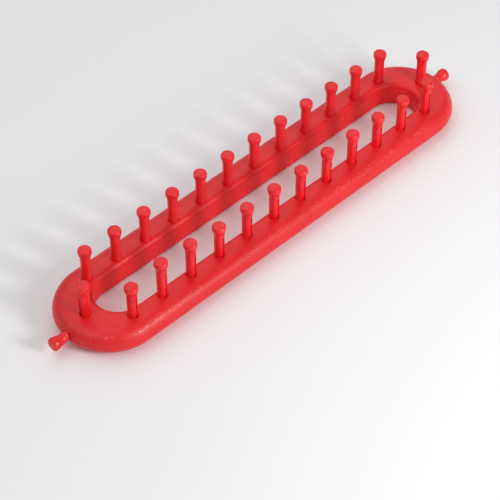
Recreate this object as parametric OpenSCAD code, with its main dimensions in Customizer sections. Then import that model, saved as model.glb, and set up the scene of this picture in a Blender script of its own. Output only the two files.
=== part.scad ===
// Long knitting loom: one moulded ring frame, two rows of push-in pegs, a peg at
// each end of the slot, and a short anchor peg standing out of each end of the frame.
// Origin: middle of the underside. +X runs along the slot, +Z points up the pegs.

/* [Peg layout] */
// Distance between neighbouring pegs in a row
peg_pitch = 16.93; // [14:0.01:18]
// Pegs in each long row
pegs_per_row = 12; // [6:1:20]
// Distance between the two rows of pegs
row_gap = 29.8; // [29:0.1:31]
// Distance from each end of the frame to its upright end peg
end_peg_inset = 11.2; // [10.8:0.1:12]
// How far the second peg of the front row has worked up out of its socket
second_peg_lift = 2.6; // [0:0.1:4]
// How far the third peg of the front row has worked up out of its socket
third_peg_lift = 1.8; // [0:0.1:4]

/* [Frame] */
// Overall width of the frame
frame_w = 50.2; // [50:0.1:54]
// Thickness of the frame, whose outer side is fully rounded
frame_t = 11.8; // [11:0.1:12.6]
// Width of the slot between the rails
slot_w = 22.2; // [20:0.1:23]
// Distance from each end of the frame to the slot
end_wall = 18.8; // [18:0.1:22]
// Rounding of the slot's upper edge
slot_edge_r = 2.7; // [2:0.1:3]
// Rounding of the slot's lower edge
slot_foot_r = 0.8; // [0.4:0.1:2]
// How far the mould's parting line stands proud
parting_proud = 0.08; // [0.05:0.01:0.2]

/* [Pegs] */
// Height of the upright pegs above the frame
peg_h = 18.1; // [16:0.1:21]
// How far the anchor pegs stand out of the frame's ends
anchor_out = 8.3; // [8:0.1:11]
// Diameter of the head
head_d = 6.2; // [5.8:0.1:7]
// Diameter of the shank
shank_d = 4.7; // [4.4:0.1:4.9]
// Depth of the rim and dome at the top of the head
rim_h = 2.65; // [2.2:0.05:3]
// Length of the flared neck between head and shank
neck_h = 3.7; // [3:0.1:4.2]
// Rounding of the head's upper edge
rim_round_r = 0.9; // [0.5:0.1:1]
// Radius of the dome on the head
crown_r = 8; // [7:0.5:20]
// Width of the hook groove down the outward side of the peg
groove_w = 1.5; // [1.2:0.1:1.8]
// Depth of the hook groove
groove_depth = 0.5; // [0.4:0.05:1]
// Turn of the anchor pegs, whose groove faces the front and up by this angle
anchor_turn = 45; // [0:5:90]

/* [Sockets] */
// Radial gap between a peg and its socket
socket_gap = 0.05; // [0.03:0.01:0.1]
// Depth of the upright sockets
socket_depth = 9; // [7:0.1:9.5]
// Depth of the anchor sockets
anchor_socket_depth = 7.6; // [6.5:0.1:7.6]
// Bevel round the mouth of an upright socket
mouth_bevel = 0.25; // [0.2:0.05:0.6]
// Bevel round the mouth of an anchor socket, measured from the end of the frame
anchor_mouth_bevel = 0.6; // [0.5:0.05:0.8]

/* [Underside] */
// Diameter of the shallow ejector marks under the rails
ejector_d = 4; // [3:0.5:4.5]
// Depth of the ejector marks
ejector_depth = 0.25; // [0.1:0.05:0.4]

/* [Hidden] */
$fn = 96;
cut_over = 1;              // how far a cutter runs past the surface it cuts
socket_end_gap = 0.2;      // air left under the end of a seated peg
lead_in = 0.5;             // chamfer at the lower end of a peg
groove_runout_r = 1.5;     // radius of the curve that ends a groove below the neck
parting_h = 0.2;           // width of the parting line
head_r = head_d / 2;
shank_r = shank_d / 2;
groove_floor = shank_r - groove_depth;
end_r = frame_w / 2;                             // outer radius of the frame's ends
rail_flat = end_r - frame_t / 2;                 // where the flat top turns into the rounding
end_x = (pegs_per_row - 1) / 2 * peg_pitch;      // centre of the frame's round ends
frame_end = end_x + end_r;
slot_r = slot_w / 2;
slot_x = frame_end - end_wall - slot_r;          // centre of the slot's round ends
end_peg_x = frame_end - end_peg_inset;
ejector_y = (slot_r + slot_foot_r + rail_flat) / 2;    // middle of a rail's flat underside
neck_r = (neck_h * neck_h + pow(head_r - shank_r, 2)) / (head_d - shank_d);
crown_edge = 0.02;         // faint step of the dome over the rounding of the rim
rim_round_z = rim_h - crown_r + crown_edge
    + sqrt(pow(crown_r - rim_round_r, 2) - pow(head_r - rim_round_r, 2));
crown_edge_r = (head_r - rim_round_r) * crown_r / (crown_r - rim_round_r);

function peg_x(i) = (i - (pegs_per_row - 1) / 2) * peg_pitch;
function numbered(name, i) = str(name, i < 9 ? "_0" : "_", i + 1);
function lift(row, i) = row > 0 ? 0 : i == 1 ? second_peg_lift : i == 2 ? third_peg_lift : 0;

ROWS = ["peg_front", "peg_back"];
ENDS = ["left", "right"];

// ---- shared outlines ----

// Flat stadium outline of the given end radius and end centres
module stadium(r, centre_x) {
    square([2 * centre_x, 2 * r], center = true);
    for (side = [-1, 1]) translate([side * centre_x, 0]) circle(r);
}

// Carries an outline drawn from the middle outwards along both rails and round both ends
module around_loom(centre_x) {
    rotate([90, 0, 90]) linear_extrude(2 * centre_x, center = true) {
        children();
        mirror([1, 0]) children();
    }
    for (side = [-1, 1])
        translate([side * centre_x, 0, 0]) rotate([0, 0, -90 * side]) rotate_extrude(angle = 180)
            children();
}

// ---- frame ----

// Half section of the solid frame before the slot is cut: flat with a half-round edge
module frame_section() {
    square([rail_flat, frame_t]);
    translate([rail_flat, frame_t / 2]) circle(frame_t / 2);
}

// Half section of the slot, which widens at its upper and lower edges
module slot_section() {
    translate([0, -cut_over]) square([slot_r, frame_t + 2 * cut_over]);
    difference() {
        translate([0, frame_t - slot_edge_r]) square([slot_r + slot_edge_r, slot_edge_r + cut_over]);
        translate([slot_r + slot_edge_r, frame_t - slot_edge_r]) circle(slot_edge_r);
    }
    difference() {
        translate([0, -cut_over]) square([slot_r + slot_foot_r, slot_foot_r + cut_over]);
        translate([slot_r + slot_foot_r, slot_foot_r]) circle(slot_foot_r);
    }
}

module parting_line() {
    translate([0, 0, (frame_t - parting_h) / 2]) linear_extrude(parting_h)
        stadium(end_r + parting_proud, end_x);
}

// Round blind hole with a bevelled mouth, open upwards at z = 0
module socket(depth, bevel) {
    radius = shank_r + socket_gap;
    translate([0, 0, -depth]) cylinder(r = radius, h = depth + cut_over);
    translate([0, 0, -bevel]) cylinder(r1 = radius, r2 = radius + bevel, h = bevel);
    cylinder(r = radius + bevel, h = cut_over);
}

module upright_sockets() {
    for (side = [-1, 1], i = [0 : pegs_per_row - 1])
        translate([peg_x(i), side * row_gap / 2, frame_t]) socket(socket_depth, mouth_bevel);
    for (side = [-1, 1])
        translate([side * end_peg_x, 0, frame_t]) socket(socket_depth, mouth_bevel);
}

module anchor_sockets() {
    for (side = [-1, 1])
        translate([side * frame_end, 0, frame_t / 2]) point_outwards(side)
            socket(anchor_socket_depth, anchor_mouth_bevel);
}

// Shallow round marks under the rails, halfway between every second pair of pegs
module ejector_marks() {
    for (side = [-1, 1], i = [0 : 2 : pegs_per_row - 2])
        translate([peg_x(i) + peg_pitch / 2, side * ejector_y, -cut_over])
            cylinder(d = ejector_d, h = ejector_depth + cut_over);
}

module frame() {
    color([0.84, 0.17, 0.18]) difference() {
        union() {
            around_loom(end_x) frame_section();
            parting_line();
        }
        around_loom(slot_x) slot_section();
        upright_sockets();
        anchor_sockets();
        ejector_marks();
    }
}

// ---- pegs ----

// Half section of the head's rim: rounded upper edge under a dome
module rim_section() {
    intersection() {
        union() {
            square([head_r, rim_round_z]);
            square([crown_edge_r, rim_h]);
            translate([head_r - rim_round_r, rim_round_z]) circle(rim_round_r);
        }
        translate([0, rim_h - crown_r]) circle(crown_r);
    }
}

// Half section of the neck, a hollow curve that leaves the shank without a step
module neck_section() {
    difference() {
        square([head_r, neck_h]);
        translate([shank_r + neck_r, 0]) circle(neck_r);
    }
}

// Hook groove down the +Y side of a peg, curving out below the neck
module groove(bottom, neck_z) {
    top = neck_z - groove_runout_r;
    translate([-groove_w / 2, groove_floor, bottom - cut_over])
        cube([groove_w, head_d, top - bottom + cut_over]);
    translate([0, groove_floor + groove_runout_r, top]) rotate([0, 90, 0])
        cylinder(r = groove_runout_r, h = groove_w, center = true);
}

// A whole peg, with z = 0 where it enters the frame and its groove towards +Y
module peg(height, inserted) {
    neck_z = height - rim_h - neck_h;
    color([0.88, 0.1, 0.14]) difference() {
        union() {
            translate([0, 0, -inserted]) cylinder(r1 = shank_r - lead_in, r2 = shank_r, h = lead_in);
            translate([0, 0, lead_in - inserted])
                cylinder(r = shank_r, h = neck_z + inserted - lead_in);
            translate([0, 0, neck_z]) rotate_extrude() neck_section();
            translate([0, 0, neck_z + neck_h]) rotate_extrude() rim_section();
        }
        groove(-inserted, neck_z);
    }
}

// An upright peg whose groove faces outwards, at an angle counted from +Y
module upright_peg(x, y, lift, facing) {
    translate([x, y, frame_t + lift]) rotate([0, 0, facing]) peg(peg_h, socket_depth - socket_end_gap);
}

// Turns something that stands on z = 0 so that it points out of one end of the frame, with
// its +Y side to the front and up
module point_outwards(side) {
    rotate([180 - anchor_turn, 0, 0]) rotate([0, 90 * side, 0]) children();
}

module anchor_peg(side) {
    translate([side * frame_end, 0, frame_t / 2]) point_outwards(side)
        peg(anchor_out, anchor_socket_depth - socket_end_gap);
}

// ---- assembly ----

frame();
for (r = [0, 1], i = [0 : pegs_per_row - 1])
    upright_peg(peg_x(i), (r - 0.5) * row_gap, lift(r, i), 180 * (1 - r));
for (e = [0, 1])
    upright_peg((2 * e - 1) * end_peg_x, 0, 0, 90 - 180 * e);
for (e = [0, 1])
    anchor_peg(2 * e - 1);
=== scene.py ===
import math

import bpy
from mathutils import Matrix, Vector


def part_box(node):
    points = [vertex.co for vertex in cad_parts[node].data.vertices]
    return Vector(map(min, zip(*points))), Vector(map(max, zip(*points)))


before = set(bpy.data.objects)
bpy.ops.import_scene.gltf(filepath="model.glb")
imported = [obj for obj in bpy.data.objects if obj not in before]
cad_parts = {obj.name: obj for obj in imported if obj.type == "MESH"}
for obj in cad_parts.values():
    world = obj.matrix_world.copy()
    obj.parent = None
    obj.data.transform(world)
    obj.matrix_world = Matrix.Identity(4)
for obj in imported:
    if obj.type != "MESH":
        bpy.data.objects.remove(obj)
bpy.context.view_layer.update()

MM = 0.001

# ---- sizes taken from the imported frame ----

frame_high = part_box("frame")[1]
FRAME_TOP = frame_high.z
END_RADIUS = frame_high.y
END_CENTRE = frame_high.x - END_RADIUS

CAMERA_AZIMUTH = -44.5
CAMERA_ELEVATION = 46.2
CAMERA_DISTANCE = 743.9 * MM
CAMERA_AIM = Vector((-31.2 * MM, -22.7 * MM, FRAME_TOP))
CAMERA_LENS = 121.8

# ---- floor and lights: places and sizes in metres, power in watts ----

FLOOR_HALF = 3.0
FLOOR_DROP = 0.5 * MM    # leaves a dark line under the rails
WORLD_STRENGTH = 0.36
LIGHTS = [
    ("key", (0.075, -0.525, 0.285), 0.16, 2.0),
    ("soft", (-0.46, 0.39, 1.04), 1.4, 4.8),
    ("back", (0.58, 0.59, 0.87), 1.0, 2.4),
]

# ---- band round the frame's outer edge for worn specks with painted highlight tint: where each side of it starts to show, and where it shows fully ----

WEAR_GLINT_LOWER = (2.6 * MM, 1.8 * MM)    # below the frame's top
WEAR_GLINT_UPPER = (0.4 * MM, 0.9 * MM)    # below the frame's top
WEAR_GLINT_INNER = (6 * MM, 3 * MM)        # in from the frame's outer side


def add_camera():
    azimuth, elevation = math.radians(CAMERA_AZIMUTH), math.radians(CAMERA_ELEVATION)
    back = Vector((
        math.sin(azimuth) * math.cos(elevation),
        -math.cos(azimuth) * math.cos(elevation),
        math.sin(elevation),
    ))
    data = bpy.data.cameras.new("camera")
    data.lens = CAMERA_LENS
    camera = bpy.data.objects.new("camera", data)
    camera.location = CAMERA_AIM + back * CAMERA_DISTANCE
    camera.rotation_euler = (-back).to_track_quat("-Z", "Y").to_euler()
    bpy.context.scene.collection.objects.link(camera)
    bpy.context.scene.camera = camera


# ---- lights and floor ----

def add_area_light(name, place, size, power):
    """A square soft box that looks at the loom from a place in metres."""
    data = bpy.data.lights.new(name, "AREA")
    data.shape = "SQUARE"
    data.size = size
    data.energy = power
    light = bpy.data.objects.new(name, data)
    light.location = place
    light.rotation_euler = (-Vector(place)).to_track_quat("-Z", "Y").to_euler()
    bpy.context.scene.collection.objects.link(light)


def add_world(strength):
    world = bpy.data.worlds.new("studio")
    world.use_nodes = True
    background = world.node_tree.nodes["Background"]
    background.inputs["Color"].default_value = (1, 1, 1, 1)
    background.inputs["Strength"].default_value = strength
    bpy.context.scene.world = world


def add_floor():
    mesh = bpy.data.meshes.new("floor")
    corners = [(x * FLOOR_HALF, y * FLOOR_HALF, 0) for x, y in ((-1, -1), (1, -1), (1, 1), (-1, 1))]
    mesh.from_pydata(corners, [], [(0, 1, 2, 3)])
    floor = bpy.data.objects.new("floor", mesh)
    floor.location.z = -FLOOR_DROP
    bpy.context.scene.collection.objects.link(floor)
    material = bpy.data.materials.new("floor_white")
    material.use_nodes = True
    shader = material.node_tree.nodes["Principled BSDF"]
    shader.inputs["Base Color"].default_value = (0.92, 0.92, 0.93, 1)
    shader.inputs["Roughness"].default_value = 0.8
    shader.inputs["Specular IOR Level"].default_value = 0.1
    mesh.materials.append(material)


# ---- materials ----

class Nodes:
    """Short ways to add and join a material's nodes."""

    def __init__(self, name):
        self.material = bpy.data.materials.new(name)
        self.material.use_nodes = True
        self.tree = self.material.node_tree
        self.shader = self.tree.nodes["Principled BSDF"]

    def add(self, kind, values=None, **settings):
        node = self.tree.nodes.new(kind)
        for name, value in settings.items():
            setattr(node, name, value)
        for name, value in (values or {}).items():
            self.put(value, node.inputs[name])
        return node

    def put(self, value, socket):
        if isinstance(value, bpy.types.NodeSocket):
            self.tree.links.new(value, socket)
        else:
            socket.default_value = value

    def noise(self, vector, scale, detail, distortion=0.0):
        node = self.add("ShaderNodeTexNoise", {
            "Vector": vector, "Scale": scale, "Detail": detail, "Distortion": distortion})
        return node.outputs["Fac"]

    def remap(self, value, low, high, to_low=0.0, to_high=1.0):
        node = self.add("ShaderNodeMapRange", {
            "Value": value, "From Min": low, "From Max": high, "To Min": to_low, "To Max": to_high})
        node.interpolation_type = "SMOOTHSTEP"
        return node.outputs["Result"]

    def maths(self, operation, a, b=0.0):
        node = self.add("ShaderNodeMath", operation=operation)
        self.put(a, node.inputs[0])
        self.put(b, node.inputs[1])
        return node.outputs["Value"]

    def blend(self, amount, low, high):
        node = self.add("ShaderNodeMix", data_type="RGBA")
        self.put(amount, node.inputs["Factor"])
        self.put(low, node.inputs["A"])
        self.put(high, node.inputs["B"])
        return node.outputs["Result"]

    def bump(self, height, distance, strength, under=None):
        values = {"Height": height, "Distance": distance, "Strength": strength}
        if under is not None:
            values["Normal"] = under
        return self.add("ShaderNodeBump", values).outputs["Normal"]


def frame_plastic():
    """Satin moulded plastic: faint flow patterns, a fine grain, and worn specks round the frame's outer
    edge, tinted as painted highlights.
    """
    n = Nodes("frame_plastic")
    place = n.add("ShaderNodeTexCoord").outputs["Object"]

    flow = n.noise(place, 28, detail=3, distortion=1.2)
    deep, bright = (0.72, 0.004, 0.010, 1), (0.80, 0.010, 0.016, 1)
    colour = n.blend(n.remap(flow, 0.3, 0.7), deep, bright)

    parts = n.add("ShaderNodeSeparateXYZ", {"Vector": place})
    past_end = n.maths("MAXIMUM", n.maths("SUBTRACT", n.maths("ABSOLUTE", parts.outputs["X"]), END_CENTRE))
    squares = n.maths("ADD", n.maths("POWER", past_end, 2.0), n.maths("POWER", parts.outputs["Y"], 2.0))
    reach = n.maths("SQRT", squares)
    outer = n.remap(reach, END_RADIUS - WEAR_GLINT_INNER[0], END_RADIUS - WEAR_GLINT_INNER[1])

    speck_noise = n.noise(place, 1100, detail=2)
    patches = n.noise(place, 60, detail=2)
    height = parts.outputs["Z"]
    above_side = n.remap(height, FRAME_TOP - WEAR_GLINT_LOWER[0], FRAME_TOP - WEAR_GLINT_LOWER[1])
    below_top = n.remap(height, FRAME_TOP - WEAR_GLINT_UPPER[0], FRAME_TOP - WEAR_GLINT_UPPER[1])
    worn_and_glint_band = n.maths("MULTIPLY", below_top, n.maths("MULTIPLY", above_side, outer))
    worn_and_glint_patches = n.maths("MULTIPLY", n.remap(patches, 0.41, 0.55), worn_and_glint_band)
    worn_and_glint_specks = n.maths("MULTIPLY", n.remap(speck_noise, 0.54, 0.62), worn_and_glint_patches)
    # the worn specks also get a whitish tint, a painted highlight set in the band where the key light
    # reflects off the rounded edge
    painted_glint_tint = (0.95, 0.35, 0.32, 1)
    colour = n.blend(n.maths("MULTIPLY", worn_and_glint_specks, 0.22), colour, painted_glint_tint)

    grain = n.noise(place, 2600, detail=2)
    peel = n.noise(place, 330, detail=2)
    sinks = n.noise(place, 45, detail=1)
    normal = n.bump(sinks, 0.5 * MM, 0.25)
    normal = n.bump(peel, 0.06 * MM, 0.35, under=normal)
    normal = n.bump(grain, 0.02 * MM, 0.4, under=normal)
    normal = n.bump(n.maths("MULTIPLY", speck_noise, worn_and_glint_patches), 0.12 * MM, 0.9, under=normal)

    roughness = n.maths("SUBTRACT", n.remap(peel, 0.3, 0.7, 0.40, 0.50), n.maths("MULTIPLY", worn_and_glint_specks, 0.18))
    n.put(colour, n.shader.inputs["Base Color"])
    n.put(roughness, n.shader.inputs["Roughness"])
    n.put(normal, n.shader.inputs["Normal"])
    return n.material


def peg_plastic():
    """Glossier and brighter red plastic of the pegs, with a fine peel and faint upright draw lines."""
    n = Nodes("peg_plastic")
    place = n.add("ShaderNodeTexCoord").outputs["Object"]
    stretched = n.add("ShaderNodeMapping", {"Vector": place, "Scale": (1, 1, 0.06)}).outputs["Vector"]

    flow = n.noise(place, 160, detail=2)
    deep, bright = (0.80, 0.006, 0.012, 1), (0.88, 0.014, 0.022, 1)
    colour = n.blend(n.remap(flow, 0.3, 0.7), deep, bright)
    lines = n.noise(stretched, 900, detail=1)
    peel = n.noise(place, 1200, detail=1)
    normal = n.bump(peel, 0.12 * MM, 0.8)
    normal = n.bump(lines, 0.02 * MM, 0.15, under=normal)

    n.put(colour, n.shader.inputs["Base Color"])
    n.put(n.remap(peel, 0.3, 0.7, 0.30, 0.42), n.shader.inputs["Roughness"])
    n.put(normal, n.shader.inputs["Normal"])
    return n.material


def paint(node, material):
    for material_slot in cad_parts[node].material_slots:
        material_slot.material = material


# ---- the scene ----

bpy.context.scene.view_settings.view_transform = "Standard"
add_camera()
add_world(WORLD_STRENGTH)
for name, place, size, power in LIGHTS:
    add_area_light(name, place, size, power)
add_floor()

frame_material = frame_plastic()
peg_material = peg_plastic()
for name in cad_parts:
    paint(name, frame_material if name == "frame" else peg_material)
